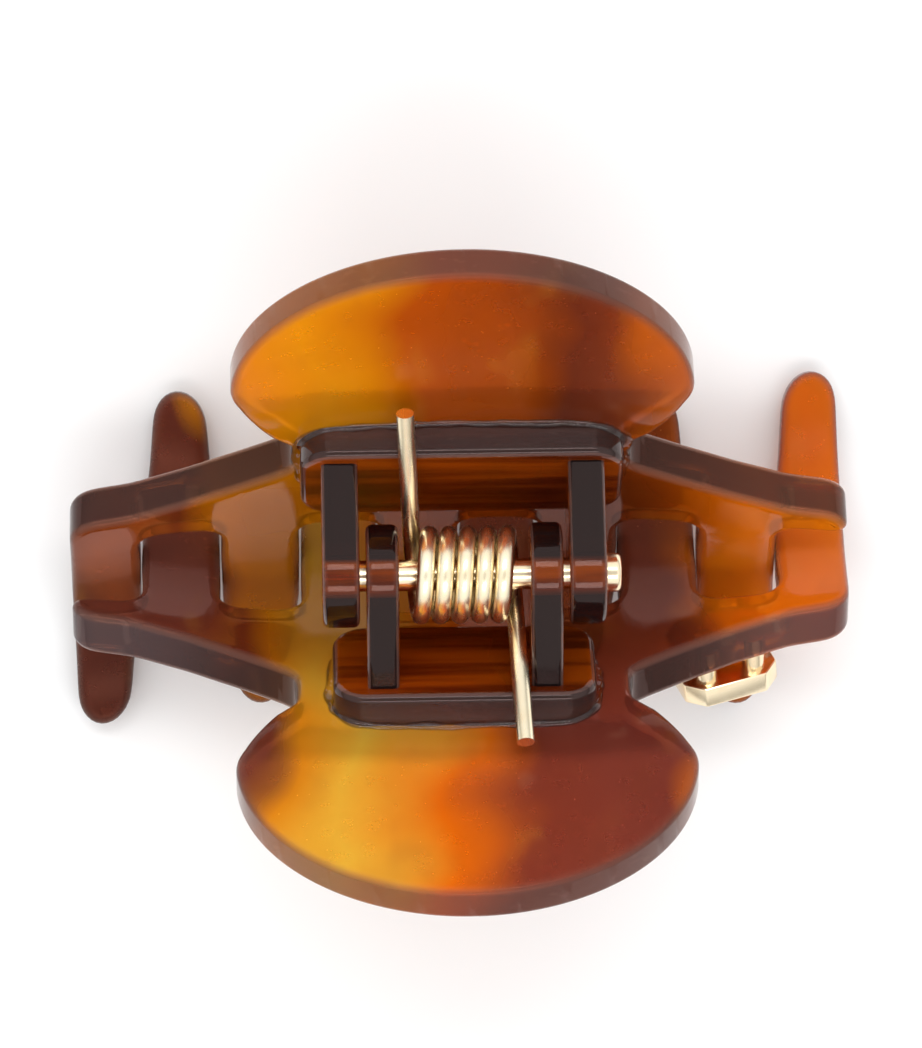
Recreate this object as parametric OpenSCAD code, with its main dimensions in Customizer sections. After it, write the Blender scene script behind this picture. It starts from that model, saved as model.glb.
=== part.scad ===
// Claw clip: two toothed jaws with handles, glued hinge brackets, a pin, a torsion spring and a badge.
// X runs along the hinge pin, +Y is the rear jaw's side, +Z points up towards the handles.
// The origin lies on the surface that the clip stands on, below the middle of the pin.

/* [Plates] */
// Thickness of the jaw walls
wall_t = 3.1; // [2.8:0.1:3.3]
// Thickness of the handles
handle_t = 2.5; // [2.2:0.1:3]
// Thickness of the teeth at their tips
tip_t = 2.3; // [2.0:0.1:2.6]
// Half of the clip's width at the ends of the wings
wing_x = 25.6; // [25.4:0.1:26.2]
// Radius of the barrel that the walls are formed over, seen from above
barrel_r = 167; // [150:1:200]

/* [Side profile] */
// Slope of the handle below the horizontal, going down to the neck
handle_slope = 50; // [46:1:54]
// Slope of the wall just below the neck
neck_slope = 66; // [64:1:68]
// Slope of the wall at the roots of the teeth
gullet_slope = 56; // [54:1:58]
// Length of the bend between the handle and the wall
bend_len = 3; // [2:0.5:4]
// Distance along the wall from the neck to the roots of the teeth
gullet_s = 14.8; // [14.4:0.1:15.2]
// Distance along the wall from the neck to where the teeth lie flat
flat_s = 29.6; // [29:0.1:30]
// Distance along the wall from the neck to the ends of the teeth
tip_s = 31.6; // [31:0.1:32]
// Distance of the plate's middle from the pin's axis at the neck
neck_y = 11.3; // [11.2:0.1:11.6]

/* [Handle outline] */
// Half of the handle's width
handle_x = 14.8; // [13.5:0.1:15]
// Distance above the neck where the handle is widest
widest_v = 2.5; // [2:0.1:3]
// Height of the handle above its widest line
crown_v = 11.35; // [10:0.05:12]
// Half of the width of the neck
neck_x = 10.8; // [10.6:0.1:11.2]
// Distance below the neck line where the handle's lobes end
lobe_s = 3.7; // [3.4:0.1:4]

/* [Teeth] */
// Distance between neighbouring teeth, which belong to the two jaws in turn
tooth_pitch = 5.25; // [5.2:0.01:5.3]
// Half of a tooth's width at its root
root_hw = 2.5; // [2.3:0.05:2.6]
// Half of a tooth's width where the two jaws cross
cross_hw = 2.35; // [2.1:0.05:2.4]
// Half of a tooth's width at its tip
tip_hw = 1.75; // [1.6:0.05:1.9]
// Radius in the corners between the teeth
gullet_r = 1.3; // [1:0.1:1.5]

// How much shorter the rear jaw's outermost tooth is
rear_trim = 1.4; // [1:0.1:1.6]

/* [Hinge] */
// Diameter of the pin
pin_d = 2.0; // [1.9:0.05:2.2]
// Diameter of the pin's head
head_d = 2.5; // [2.4:0.1:3]
// How far the head stands out
head_len = 1.0; // [0.8:0.1:1.2]
// Radial clearance of the pin in the front bracket
pin_gap = 0.04; // [0.02:0.01:0.08]
// Radius of the eyes around the pin
eye_r = 3.3; // [3.2:0.05:3.5]
// Inner face of the rear bracket's arms
rear_arm_x = 6.7; // [6.65:0.05:6.9]
// Thickness of the rear bracket's arms
rear_arm_t = 2.4; // [2.2:0.1:2.6]
// Inner face of the front bracket's arms
front_arm_x = 4.2; // [4.15:0.05:4.25]
// Thickness of the front bracket's arms
front_arm_t = 2.1; // [2:0.05:2.2]
// Thickness of the brackets' base plates
base_t = 2.3; // [2.1:0.1:2.5]
// Length of the brackets' base plates down the wall
base_len = 9; // [8:0.5:9.5]
// Width of the rear bracket's base plate
rear_base_w = 20.8; // [20:0.1:21]
// Width of the front bracket's base plate
front_base_w = 17; // [16.5:0.1:18]
// Radius of the base plates' corners
base_r = 2.2; // [1.5:0.1:2.5]

/* [Spring] */
// Diameter of the spring's wire
wire_d = 1.15; // [1:0.05:1.2]
// Radius of the coil to the middle of the wire
coil_r = 2.6; // [2.5:0.05:2.7]
// Number of turns
turns = 5; // [4:1:5]
// Distance between turns
coil_pitch = 1.3; // [1.25:0.01:1.35]
// Slope of the legs above the horizontal
leg_slope = 33.6; // [33.4:0.1:36]
// Length of the legs beyond the coil
leg_len = 10.9; // [10.2:0.1:11.2]
// How far the legs lean outwards along the pin
leg_lean = 0.45; // [0.1:0.05:0.45]

/* [Badge] */
// Width of the badge
badge_w = 6.5; // [6:0.1:7]
// Height of the badge
badge_h = 5.8; // [5.5:0.1:6]
// Thickness of the badge
badge_t = 1.5; // [1.2:0.05:1.7]
// Gap between the badge and the wall
badge_gap = 1.2; // [0.9:0.1:1.4]
// Turn of the badge, which follows the wing's edge
badge_turn = 14; // [10:1:18]
// Place of the badge along the wing
badge_x = 17.1; // [17:0.1:18]
// Place of the badge down the wall
badge_s = 13.2; // [13:0.1:13.5]

/* [Hidden] */

tortoise = [0.62, 0.25, 0.05];
smoke = [0.22, 0.12, 0.1];
gold = [0.86, 0.68, 0.38];

neck_mid_slope = (handle_slope + neck_slope) / 2;
tooth_rows = [-4.5, -2.5, -0.5, 1.5, 3.5]; // places of one jaw's teeth, in tooth pitches
outer_side = wing_x + tooth_rows[0] * tooth_pitch; // from the outermost tooth's middle to the wing's end
outline_s = 3; // where the outline lies square to the wall
outline_slope = 58;

// A point d along a stretch of the plate's middle line that starts at p with slope a0 and
// turns to a1 over len. The line runs inwards, towards -Y, and down.
function turn_rate(a0, a1, len) = (a1 - a0) * PI / 180 / len;
function walk(p, a0, a1, len, d) =
    let (k = turn_rate(a0, a1, len), a = a0 + (a1 - a0) * d / len)
    abs(k) < 0.000001 ? [p.x - d * cos(a0), p.y - d * sin(a0)]
                      : [p.x - (sin(a) - sin(a0)) / k, p.y + (cos(a) - cos(a0)) / k];

// The profile's corner points, in [y, z] from the pin's axis
half_bend = bend_len / 2;
neck_p = [neck_y, 0];
handle_p = walk(neck_p, neck_mid_slope, neck_slope, half_bend, -half_bend);
wall_p = walk(neck_p, neck_mid_slope, neck_slope, half_bend, half_bend);
gullet_p = walk(wall_p, neck_slope, gullet_slope, gullet_s - half_bend, gullet_s - half_bend);
flat_p = walk(gullet_p, gullet_slope, 0, flat_s - gullet_s, flat_s - gullet_s);

// The pin's height, which puts the flat tips of the teeth on z = 0
pin_z = tip_t / 2 - flat_p.y;

// Slope and place of the plate's middle line at distance s below the neck
function slope(s) =
    s < -half_bend ? handle_slope :
    s < half_bend ? neck_mid_slope + (neck_slope - neck_mid_slope) * s / half_bend :
    s < gullet_s ? neck_slope + (gullet_slope - neck_slope) * (s - half_bend) / (gullet_s - half_bend) :
    s < flat_s ? gullet_slope * (1 - (s - gullet_s) / (flat_s - gullet_s)) : 0;
function middle(s) =
    s < -half_bend ? walk(handle_p, handle_slope, handle_slope, 1, s + half_bend) :
    s < half_bend ? walk(neck_p, neck_mid_slope, neck_slope, half_bend, s) :
    s < gullet_s ? walk(wall_p, neck_slope, gullet_slope, gullet_s - half_bend, s - half_bend) :
    s < flat_s ? walk(gullet_p, gullet_slope, 0, flat_s - gullet_s, s - gullet_s) :
                 walk(flat_p, 0, 0, 1, s - flat_s);
function thickness(s) =
    s < -half_bend ? handle_t :
    s < half_bend ? handle_t + (wall_t - handle_t) * (s + half_bend) / bend_len :
    s < gullet_s ? wall_t :
    s < flat_s ? wall_t + (tip_t - wall_t) * (s - gullet_s) / (flat_s - gullet_s) : tip_t;

// A point off the middle line: side is 1 on the inner face and -1 on the outer face
function off_middle(s, side) =
    middle(s) + side * thickness(s) / 2 * [-sin(slope(s)), cos(slope(s))];

// The thick profile from the handle's top to the ends of the teeth
top_s = -widest_v - crown_v;
stations = concat(
    [top_s - 0.5],
    [for (i = [0 : 4]) -half_bend + bend_len * i / 4],
    [for (i = [1 : 5]) half_bend + (gullet_s - half_bend) * i / 5],
    [for (i = [1 : 12]) gullet_s + (flat_s - gullet_s) * i / 12],
    [tip_s + 0.5]);
last_station = len(stations) - 1;
profile = concat([for (s = stations) off_middle(s, 1)],
                 [for (i = [last_station : -1 : 0]) off_middle(stations[i], -1)]);

// How far the barrel form pulls the wall in at x
function pull_in(x, y) = barrel_r + y - sqrt(pow(barrel_r + y, 2) - x * x);

// An arc of points about c
function arc(c, r, a0, a1, n) = [for (i = [0 : n]) c + r * [cos(a0 + (a1 - a0) * i / n), sin(a0 + (a1 - a0) * i / n)]];

// One side of the handle's and the wing's outline for x > 0, in [x, distance below the neck]
function lobe_x(s) = neck_x + (handle_x - neck_x) * (1 - pow((s + widest_v) / (lobe_s + widest_v), 1.25));
rim_s = 7.6;
wing_corner_r = 1.8;
side_points = concat(
    [for (a = [84 : -6 : 0]) [handle_x * cos(a), -widest_v - crown_v * sin(a)]],
    [for (i = [1 : 6]) let (s = -widest_v + (lobe_s + widest_v) * i / 6) [lobe_x(s), s]],
    arc([neck_x + 0.9, rim_s - 1.1], 0.9, 180, 110, 3),
    [[12, rim_s + 0.2], [14.5, 9.2], [18, 10.9], [21.5, 12.2]],
    arc([wing_x - wing_corner_r, 14.2], wing_corner_r, -80, 0, 5));
mirrored_points = [for (i = [len(side_points) - 1 : -1 : 0]) [-side_points[i].x, side_points[i].y]];

// The lower edge of the wall, from +X to -X, with a rounded gap on the +X side of each tooth
stub_hw = root_hw - 0.3; // the stubs run into the teeth
function gap_corner(x, a0, a1) = arc([x, gullet_s + gullet_r], gullet_r, a0, a1, 4);
lower_points = concat(
    [[wing_x, gullet_s - 0.6], [wing_x - 0.6, gullet_s]],
    [for (i = [4 : -1 : 0])
        let (x = tooth_rows[i] * tooth_pitch)
        each concat(
            gap_corner(x + stub_hw + gullet_r, 270, 180),
            [[x + stub_hw, gullet_s + 2.2], [x - (i == 0 ? outer_side - 1 : stub_hw), gullet_s + 2.2]],
            i == 0 ? [[x - outer_side + 1, gullet_s]] : gap_corner(x - stub_hw - gullet_r, 360, 270))]);
module wall_outline() polygon(concat([[0, top_s]], side_points, lower_points, mirrored_points));

// A tooth seen from above, in [x, y], from its root to its round tip
module tooth(x, outer, trim)
{
    y_root = middle(gullet_s - 0.6).x - pull_in(x, 0);
    y_cross = middle(20).x - pull_in(x, 0);
    y_tip = middle(tip_s).x - pull_in(x, 0) + (outer ? trim : 0);
    polygon(concat(
        [[x + root_hw, y_root], [x - (outer ? outer_side : root_hw), y_root]],
        [[x - (outer ? outer_side : cross_hw), y_cross]],
        arc([x, y_tip + tip_hw], tip_hw, 180, 360, 8),
        [[x + cross_hw, y_cross]]));
}

// The plate is a ring sector cut out by the outline, square to the wall, and by the teeth's plan
module jaw(trim)
    intersection()
    {
        translate([0, -barrel_r, pin_z])
            rotate([0, 0, 80])
                rotate_extrude(angle = 20, $fn = 360)
                    translate([barrel_r, 0])
                        polygon(profile);
        union()
        {
            translate([0, middle(outline_s).x, pin_z + middle(outline_s).y])
                rotate([outline_slope, 0, 0])
                    translate([0, outline_s, -7])
                        mirror([0, 1, 0])
                            linear_extrude(14)
                                wall_outline();
            translate([0, 0, -1])
                linear_extrude(pin_z)
                    for (row = tooth_rows)
                        tooth(row * tooth_pitch, row == tooth_rows[0], trim);
        }
    }

// The brackets' base plates lie on the wall's inner face, let in by a hair
base_slope = 63;
base_s = 0.6;
base_let_in = 0.35;
base_foot = off_middle(base_s, 1) - base_let_in * [-sin(base_slope), cos(base_slope)];
// A point v down the base plate and w in front of its back
function on_base(v, w) =
    base_foot + v * [-cos(base_slope), -sin(base_slope)] + w * [-sin(base_slope), cos(base_slope)];

module base_plate(width)
    translate([0, base_foot.x, pin_z + base_foot.y])
        rotate([base_slope, 0, 0])
            translate([0, -base_len / 2, 0])
                linear_extrude(base_t + base_let_in)
                    union()
                    {
                        square([width - 2 * base_r, base_len], center = true);
                        square([width, base_len - 2 * base_r], center = true);
                        for (x = [-1, 1], y = [-1, 1])
                            translate([x * (width / 2 - base_r), y * (base_len / 2 - base_r)])
                                circle(r = base_r, $fn = 32);
                    }

// An arm from the base plate to its eye around the pin, on the +X side at x
module arm(x, t)
    translate([x, 0, pin_z])
        rotate([90, 0, 90])
            linear_extrude(t)
                hull()
                {
                    circle(r = eye_r, $fn = 32);
                    polygon([on_base(0.9, 1), on_base(0.9, base_t), on_base(base_len - 1.2, base_t),
                             on_base(base_len - 1.2, 1)]);
                }

module bracket(width, arm_x, arm_t, bore_r)
    difference()
    {
        union()
        {
            base_plate(width);
            arm(arm_x, arm_t);
            arm(-arm_x - arm_t, arm_t);
        }
        translate([-width / 2 - 1, 0, pin_z])
            rotate([0, 90, 0])
                cylinder(r = bore_r, h = width + 2, $fn = 48);
    }

// Knurled at its -X end, where it is pressed into the rear bracket, and headed at its +X end
pin_end_x = rear_arm_x + rear_arm_t;
knurl_len = 1.8;
module pin()
    translate([-pin_end_x, 0, pin_z])
        rotate([0, 90, 0])
        {
            cylinder(d = pin_d, h = 2 * pin_end_x + 0.02, $fn = 48);
            translate([0, 0, 2 * pin_end_x + 0.02])
                rotate_extrude($fn = 48)
                    polygon([[0, 0], [head_d / 2, 0], [head_d / 2, head_len * 0.55],
                             [head_d / 2 - 0.2, head_len * 0.85], [head_d / 2 - 0.45, head_len], [0, head_len]]);
            for (i = [0 : 11])
                rotate([0, 0, 30 * i])
                    translate([pin_d / 2 - 0.06, -0.1, 0.3])
                        cube([0.11, 0.2, knurl_len]);
        }

// The spring's middle line: the rear leg at -X, the coil, and the front leg at +X.
// Both legs leave the underside of the coil.
coil_len = turns * coil_pitch;
leg_a0 = -90 + leg_slope;
coil_turn = 360 * turns + 2 * leg_slope;
function coil_at(t) = // t from 0 to 1
    let (a = leg_a0 - t * coil_turn)
    [-coil_len / 2 + t * coil_len, coil_r * cos(a), coil_r * sin(a)];
function leg_at(d, side) = // d beyond the coil, side -1 at the rear leg and 1 at the front leg
    let (y = coil_r * sin(leg_slope) + d * cos(leg_slope), z = -coil_r * cos(leg_slope) + d * sin(leg_slope))
    [side * (coil_len / 2 + leg_lean * d / leg_len), -side * y, z];
coil_steps = 24 * turns;
spring_line = concat(
    [for (d = [leg_len, leg_len * 0.6, leg_len * 0.25]) leg_at(d, -1)],
    [for (i = [0 : coil_steps]) coil_at(i / coil_steps)],
    [for (d = [leg_len * 0.25, leg_len * 0.6, leg_len]) leg_at(d, 1)]);

function unit(v) = v / norm(v);
function tangent(line, i) = unit(line[min(i + 1, len(line) - 1)] - line[max(i - 1, 0)]);
// A ring of points round the line, turned from the pin's axis so that rings don't twist
function ring(line, i, r, sides) =
    let (t = tangent(line, i), u = unit([1, 0, 0] - t.x * t), v = cross(t, u))
    [for (k = [0 : sides - 1]) line[i] + r * (cos(360 * k / sides) * u + sin(360 * k / sides) * v)];
module sweep(line, r, sides)
{
    n = len(line);
    polyhedron(
        [for (i = [0 : n - 1]) each ring(line, i, r, sides)],
        concat(
            [[for (k = [sides - 1 : -1 : 0]) k]],
            [for (i = [0 : n - 2], k = [0 : sides - 1])
                let (a = i * sides, m = (k + 1) % sides) [a + k, a + m, a + sides + m, a + sides + k]],
            [[for (k = [0 : sides - 1]) (n - 1) * sides + k]]));
}
module spring() translate([0, 0, pin_z]) sweep(spring_line, wire_d / 2, 10);

// Stands its children on the front jaw's outer face, with +Z out of the wall and +Y up the wall
badge_slope = slope(badge_s);
badge_foot = off_middle(badge_s, -1);
module on_front_wall()
    rotate([0, 0, 180])
        translate([-badge_x, badge_foot.x - pull_in(badge_x, badge_foot.x), pin_z + badge_foot.y])
            rotate([0, 0, asin(badge_x / barrel_r)])
                rotate([badge_slope + 180, 0, 0])
                    mirror([0, 1, 0])
                        mirror([1, 0, 0])
                            rotate([0, 0, -badge_turn])
                                children();

bezel_w = 0.8;
module badge_plate_outline(inset)
{
    w = badge_w - 2 * inset;
    h = badge_h - 2 * inset;
    r = 1.2 - inset;
    square([w - 2 * r, h], center = true);
    square([w, h - 2 * r], center = true);
    for (x = [-1, 1], y = [-1, 1])
        translate([x * (w / 2 - r), y * (h / 2 - r)])
            circle(r = r, $fn = 32);
}
recess = 0.45;
module frame()
    translate([0, 0, badge_gap])
        difference()
        {
            linear_extrude(badge_t) badge_plate_outline(0);
            translate([0, 0, badge_t - recess]) cylinder(d = badge_h - 2 * bezel_w, h = 1, $fn = 48);
        }
post_d = 1.5;
post_x = 1.65;
post_y = 1.7; // up the wall from the middle of the badge
post_depth = 1.4;
module posts()
    for (x = [-1, 1])
        translate([x * post_x, post_y, -post_depth])
            cylinder(d = post_d, h = post_depth + badge_gap, $fn = 32);
cabochon_r = badge_h / 2 - bezel_w - 0.05;
dome_h = 0.6;
module cabochon()
    translate([0, 0, badge_gap + badge_t - recess])
        rotate_extrude($fn = 48)
            polygon(concat(
                [[0, 0], [cabochon_r, 0]],
                [for (a = [0 : 13 : 78]) [cabochon_r * cos(a), recess - 0.15 + dome_h * sin(a)]],
                [[0, recess - 0.15 + dome_h * sin(78)]]));

color(tortoise) jaw(rear_trim);  // rear_jaw
color(tortoise) rotate([0, 0, 180]) jaw(0);  // front_jaw
color(smoke) bracket(rear_base_w, rear_arm_x, rear_arm_t, pin_d / 2);  // rear_hinge_bracket
color(smoke) rotate([0, 0, 180]) bracket(front_base_w, front_arm_x, front_arm_t, pin_d / 2 + pin_gap);  // front_hinge_bracket
color(gold) pin();  // hinge_pin
color(gold) spring();  // torsion_spring
color(gold) on_front_wall() frame();  // badge_frame
color(gold) on_front_wall() posts();  // badge_posts
color(tortoise) on_front_wall() cabochon();  // badge_cabochon
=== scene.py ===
import math
import random
import bmesh
import bpy
from mathutils import Matrix, Vector


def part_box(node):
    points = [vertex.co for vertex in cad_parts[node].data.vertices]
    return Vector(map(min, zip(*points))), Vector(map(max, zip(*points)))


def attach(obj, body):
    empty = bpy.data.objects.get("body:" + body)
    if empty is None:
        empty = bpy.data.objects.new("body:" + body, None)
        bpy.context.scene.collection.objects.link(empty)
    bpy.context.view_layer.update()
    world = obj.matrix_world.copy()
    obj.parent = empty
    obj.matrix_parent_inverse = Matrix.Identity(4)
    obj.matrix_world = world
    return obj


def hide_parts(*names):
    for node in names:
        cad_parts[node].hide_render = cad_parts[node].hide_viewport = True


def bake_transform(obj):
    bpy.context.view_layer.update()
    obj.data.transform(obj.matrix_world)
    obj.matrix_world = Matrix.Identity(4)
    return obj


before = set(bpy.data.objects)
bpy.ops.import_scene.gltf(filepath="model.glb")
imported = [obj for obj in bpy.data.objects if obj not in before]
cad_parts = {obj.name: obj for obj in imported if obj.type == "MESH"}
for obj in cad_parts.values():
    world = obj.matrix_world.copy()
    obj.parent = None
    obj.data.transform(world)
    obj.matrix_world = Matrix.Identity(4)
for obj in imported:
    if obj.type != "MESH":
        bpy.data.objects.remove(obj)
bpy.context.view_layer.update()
mm = 0.001  # pieces are shaped in millimetres and placed in metres
pinLow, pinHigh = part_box("hinge_pin")
pinZ = (pinLow.z + pinHigh.z) / 2 / mm
random.seed(11)


# --- camera, light and floor

camera = {"lens": 241.15, "distance": 0.450, "leanY": 2.9, "leanX": -1.3, "roll": 0.8,
          "offRight": 0.00019, "offUp": -0.00324}


def placeCamera():
    leanY, leanX = math.radians(camera["leanY"]), math.radians(camera["leanX"])
    roll = math.radians(camera["roll"])
    view = Vector((-math.sin(leanX), -math.sin(leanY),
                   -math.sqrt(1 - math.sin(leanY) ** 2 - math.sin(leanX) ** 2)))
    up = Vector((0, 1, 0))
    up = (up - up.dot(view) * view).normalized()
    right = view.cross(up)
    up, right = math.cos(roll) * up + math.sin(roll) * right, math.cos(roll) * right - math.sin(roll) * up
    bpy.ops.object.camera_add()
    made = bpy.context.object
    made.name = "viewCamera"
    made.data.lens = camera["lens"]
    made.data.sensor_width = 36
    made.data.clip_start = 0.01
    made.data.clip_end = 20
    place = Matrix((right, up, -view)).transposed().to_4x4()
    place.translation = (Vector((0, 0, pinZ * mm)) - view * camera["distance"]
                         - camera["offRight"] * right - camera["offUp"] * up)
    made.matrix_world = place
    bpy.context.scene.camera = made


studio = {"floorSize": 3.0, "floorShade": 0.95,
          "skyStrength": 1.12, "sky": [(height, (grey,) * 3) for height, grey in (
              (0.0, 0.4), (0.12, 0.45), (0.42, 1.0), (0.9, 1.0), (0.98, 0.55))]}
lamps = [  # name, place, length, width, watts
    ("rearStrip", (-0.03, 0.24, 0.55), 0.5, 0.12, 0.75),
    ("frontStrip", (0.03, -0.24, 0.55), 0.5, 0.12, 0.75),
]


def lightStudio():
    sky = bpy.data.worlds.new("studioSky")
    bpy.context.scene.world = sky
    sky.use_nodes = True
    f = Finish(tree=sky.node_tree)  # white walls, dimmer at the horizon and straight above
    split = f.node("ShaderNodeSeparateXYZ", {}, {0: f.node("ShaderNodeTexCoord")}, output=2)
    tone = f.node("ShaderNodeValToRGB", {"stops": studio["sky"]}, {0: split})
    light = f.node("ShaderNodeBackground", {}, {"Color": tone, "Strength": studio["skyStrength"]})
    f.tree.links.new(light.socket, f.tree.nodes.new("ShaderNodeOutputWorld").inputs["Surface"])
    for name, place, length, width, watts in lamps:
        bpy.ops.object.light_add(type="AREA", location=place)
        lamp = bpy.context.object
        lamp.name = name
        lamp.data.shape = "RECTANGLE"
        lamp.data.size, lamp.data.size_y = length, width
        lamp.data.energy = watts
        lamp.rotation_euler = (math.atan2(-place[1], place[2]), 0, 0)
    bpy.context.scene.view_settings.view_transform = "Standard"


# --- helpers for modelling

def clearSelection():
    bpy.ops.object.select_all(action="DESELECT")


def startEdit(piece):
    clearSelection()
    bpy.context.view_layer.objects.active = piece
    piece.select_set(True)
    bpy.ops.object.mode_set(mode="EDIT")
    bpy.ops.mesh.select_all(action="DESELECT")


def endEdit():
    bpy.ops.object.mode_set(mode="OBJECT")


def pickEdges(piece, wanted):  # selects the edges whose two ends are wanted
    bpy.ops.mesh.select_all(action="DESELECT")
    bpy.ops.mesh.select_mode(type="EDGE")
    mesh = bmesh.from_edit_mesh(piece.data)
    for edge in mesh.edges:
        if wanted(edge.verts[0].co, edge.verts[1].co):
            edge.select_set(True)
    mesh.select_flush_mode()
    bmesh.update_edit_mesh(piece.data)


def pickFaces(piece, wanted):  # selects the faces whose middle and normal are wanted
    bpy.ops.mesh.select_all(action="DESELECT")
    bpy.ops.mesh.select_mode(type="FACE")
    mesh = bmesh.from_edit_mesh(piece.data)
    for face in mesh.faces:
        if wanted(face.calc_center_median(), face.normal):
            face.select_set(True)
    bmesh.update_edit_mesh(piece.data)


def bevelPicked(width, segments):
    bpy.ops.mesh.bevel(offset=width, offset_type="OFFSET", segments=segments, affect="EDGES",
                       clamp_overlap=False)


def outlineBlank(name, points, thick):  # a flat plate of that outline, from z = 0 to z = thick
    clearSelection()
    bpy.ops.mesh.primitive_circle_add(vertices=len(points), radius=10, fill_type="NGON")
    piece = bpy.context.object
    piece.name = name
    for vertex, (x, y) in zip(piece.data.vertices, points):
        vertex.co = (x, y, 0)
    startEdit(piece)
    bpy.ops.mesh.select_all(action="SELECT")
    bpy.ops.mesh.extrude_region_move(TRANSFORM_OT_translate={"value": (0, 0, thick)})
    endEdit()
    return piece


def turnOutwards(piece):
    startEdit(piece)
    bpy.ops.mesh.select_all(action="SELECT")
    bpy.ops.mesh.remove_doubles(threshold=0.0001)
    bpy.ops.mesh.normals_make_consistent(inside=False)
    endEdit()


def applyModifiers(piece):
    clearSelection()
    bpy.context.view_layer.objects.active = piece
    piece.select_set(True)
    for modifier in list(piece.modifiers):
        bpy.ops.object.modifier_apply(modifier=modifier.name)


def combine(piece, tool, operation):  # a boolean with a tool that is then removed
    modifier = piece.modifiers.new("join", "BOOLEAN")
    modifier.operation = operation
    modifier.object = tool
    modifier.solver = "EXACT"
    applyModifiers(piece)
    bpy.data.objects.remove(tool)


def moveVertices(piece, place):
    for vertex in piece.data.vertices:
        vertex.co = place(vertex.co)


def smooth(piece, degrees=None):
    clearSelection()
    bpy.context.view_layer.objects.active = piece
    piece.select_set(True)
    if degrees is None:
        bpy.ops.object.shade_smooth()
    else:
        bpy.ops.object.shade_smooth_by_angle(angle=math.radians(degrees))


def markEdges(piece, values):  # how much each point belongs to a narrow edge, read by the finishes
    domain = "POINT" if len(values) == len(piece.data.vertices) else "CORNER"
    piece.data.attributes.new("edge", "FLOAT", domain).data.foreach_set("value", values)


def weighNormals(piece):
    modifier = piece.modifiers.new("faceWeight", "WEIGHTED_NORMAL")
    modifier.keep_sharp = True
    modifier.weight = 80
    applyModifiers(piece)


def finishPiece(piece, finish, slotName, body, *nodes):
    piece.data.materials.clear()
    piece.data.materials.append(finish)
    if nodes:
        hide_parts(*nodes)
    if body:
        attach(piece, body)


# --- shader helpers

class Channel:  # a socket that takes part in sums
    def __init__(self, finish, socket):
        self.finish, self.socket = finish, socket

    def sum(self, operation, first, second):
        return self.finish.node("ShaderNodeMath", {"operation": operation}, {0: first, 1: second})

    def __add__(self, other):
        return self.sum("ADD", self, other)

    def __sub__(self, other):
        return self.sum("SUBTRACT", self, other)

    def __rsub__(self, other):
        return self.sum("SUBTRACT", other, self)

    def __mul__(self, other):
        return self.sum("MULTIPLY", self, other)


class Finish:  # one material and its nodes
    def __init__(self, name="", tree=None):
        if tree is None:
            self.material = bpy.data.materials.new(name)
            self.material.use_nodes = True
            tree = self.material.node_tree
        self.tree = tree
        self.tree.nodes.clear()

    def node(self, kind, settings=None, sockets=None, output=0):
        made = self.tree.nodes.new(kind)
        for name, value in (settings or {}).items():
            if name == "stops":
                marks = made.color_ramp.elements
                for mark, (place, colour) in zip(list(marks), (value[0], value[-1])):
                    mark.position, mark.color = place, (*colour, 1)
                for place, colour in value[1:-1]:
                    marks.new(place).color = (*colour, 1)
            else:
                setattr(made, name, value)
        for key, value in (sockets or {}).items():
            if isinstance(value, Channel):
                self.tree.links.new(value.socket, made.inputs[key])
            else:
                made.inputs[key].default_value = value
        return Channel(self, made.outputs[output])

    def here(self):  # the point on the piece, in metres
        return self.node("ShaderNodeTexCoord", output=3)

    def axes(self, where):
        split = self.node("ShaderNodeSeparateXYZ", {}, {0: where})
        return [Channel(self, output) for output in split.socket.node.outputs]

    def size(self, value):
        return self.node("ShaderNodeMath", {"operation": "ABSOLUTE"}, {0: value})

    def edge(self):
        return self.node("ShaderNodeAttribute", {"attribute_name": "edge"}, output=2)

    def noise(self, where, scale, detail=2.0, rough=0.5):
        return self.node("ShaderNodeTexNoise", {}, {"Vector": where, "Scale": scale, "Detail": detail,
                                                    "Roughness": rough})

    def stretch(self, where, scale):
        return self.node("ShaderNodeMapping", {}, {"Vector": where, "Scale": scale})

    def step(self, value, low, high):  # 0 below low, 1 above high
        return self.node("ShaderNodeMapRange", {"interpolation_type": "SMOOTHSTEP"},
                         {"Value": value, "From Min": low, "From Max": high})

    def mix(self, factor, first, second):
        return self.node("ShaderNodeMix", {"data_type": "RGBA"}, {0: factor, 6: first, 7: second}, output=2)

    def bump(self, height, strength, distance):
        return self.node("ShaderNodeBump", {}, {"Height": height, "Strength": strength, "Distance": distance})

    def surface(self, sockets, absorb=None, density=0):
        shader = self.node("ShaderNodeBsdfPrincipled", {}, sockets)
        end = self.tree.nodes.new("ShaderNodeOutputMaterial")
        self.tree.links.new(shader.socket, end.inputs["Surface"])
        if absorb:
            volume = self.node("ShaderNodeVolumeAbsorption", {}, {"Color": (*absorb, 1), "Density": density})
            self.tree.links.new(volume.socket, end.inputs["Volume"])
        return self.material


# --- finishes

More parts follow.
